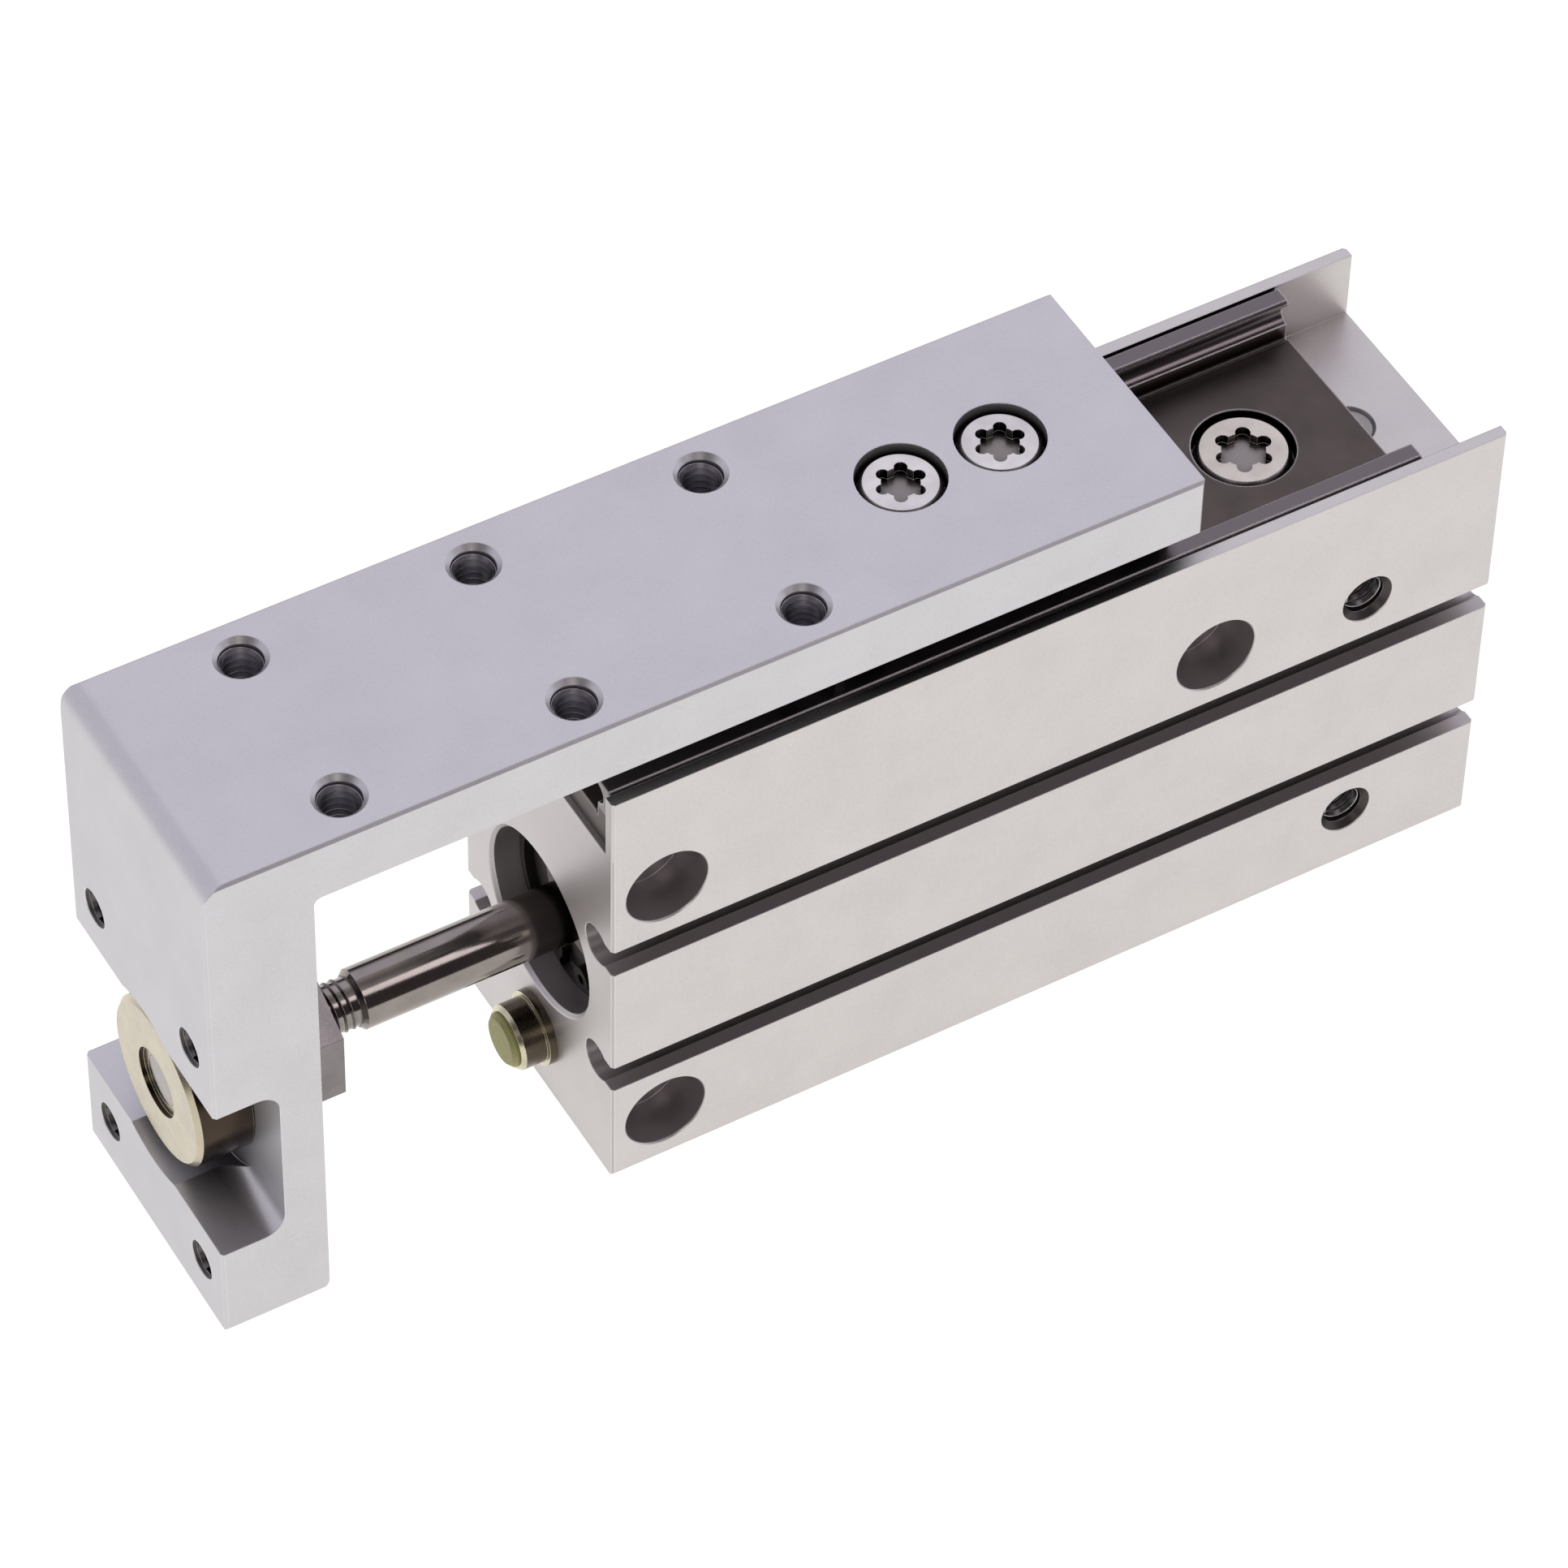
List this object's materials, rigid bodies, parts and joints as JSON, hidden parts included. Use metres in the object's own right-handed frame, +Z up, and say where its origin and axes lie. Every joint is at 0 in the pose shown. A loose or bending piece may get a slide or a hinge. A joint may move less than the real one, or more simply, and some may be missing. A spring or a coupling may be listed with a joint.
{
  "type": "pneumatic slide table",
  "caption": "Compact pneumatic slide table: an L-shaped table on a recirculating-ball guide, driven by the rod of the cylinder in the body below it.",
  "frame": {"origin": "centre of the body's base face", "axes": "+X the way the table extends, +Y the side with the air ports and counterbores, +Z up from the base face to the table"},
  "size_m": [0.1346, 0.028, 0.0623],
  "materials": {
    "body_aluminium": "fine satin, clear anodised",
    "table_aluminium": "fine satin, clear anodised",
    "cover_aluminium": "satin, dark anodised",
    "piston_aluminium": "turned",
    "rail_steel": "ground, dark",
    "block_steel": "ground",
    "ball_steel": "polished",
    "rod_chrome": "hard chrome, polished",
    "screw_steel": "satin plated",
    "zinc_steel": "yellow zinc plated",
    "lock_nut_steel": "black oxide",
    "spring_steel": "phosphated",
    "plug_steel": "plain",
    "scraper_steel": "plain",
    "bush_bronze": "porous bronze",
    "seal_rubber": "matt",
    "stop_urethane": "matt, olive green",
    "cap_resin": "moulded",
    "wear_resin": "moulded",
    "magnet_ferrite": "bonded ferrite"
  },
  "bodies": {
    "body": {"cylinder_body": "body_aluminium", "guide_rail": "rail_steel", "rail_screws": "screw_steel", "rod_cover": "cover_aluminium", "rod_bush": "bush_bronze", "rod_seal": "seal_rubber", "rod_cover_o_ring": "seal_rubber", "front_retaining_ring": "spring_steel", "head_cover": "cover_aluminium", "head_cover_o_ring": "seal_rubber", "rear_retaining_ring": "spring_steel", "stop_bolt": "zinc_steel", "stop_pad": "stop_urethane", "gallery_plugs": "plug_steel"},
    "slide": {"table": "table_aluminium", "table_screws": "screw_steel", "guide_block": "block_steel", "block_end_caps": "cap_resin", "block_scrapers": "scraper_steel", "cap_screws": "screw_steel", "guide_balls": "ball_steel", "piston_rod": "rod_chrome", "rod_lock_nut": "lock_nut_steel", "rod_nut": "zinc_steel", "piston": "piston_aluminium", "piston_nut": "plug_steel", "piston_seal": "seal_rubber", "piston_magnet": "magnet_ferrite", "piston_wear_ring": "wear_resin", "piston_cushions": "seal_rubber"}
  },
  "joints": [
    {"name": "table_travel", "type": "slide", "parent": "body", "child": "slide", "axis": [1, 0, 0], "range_m": [-0.0252, 0.0248]}
  ]
}
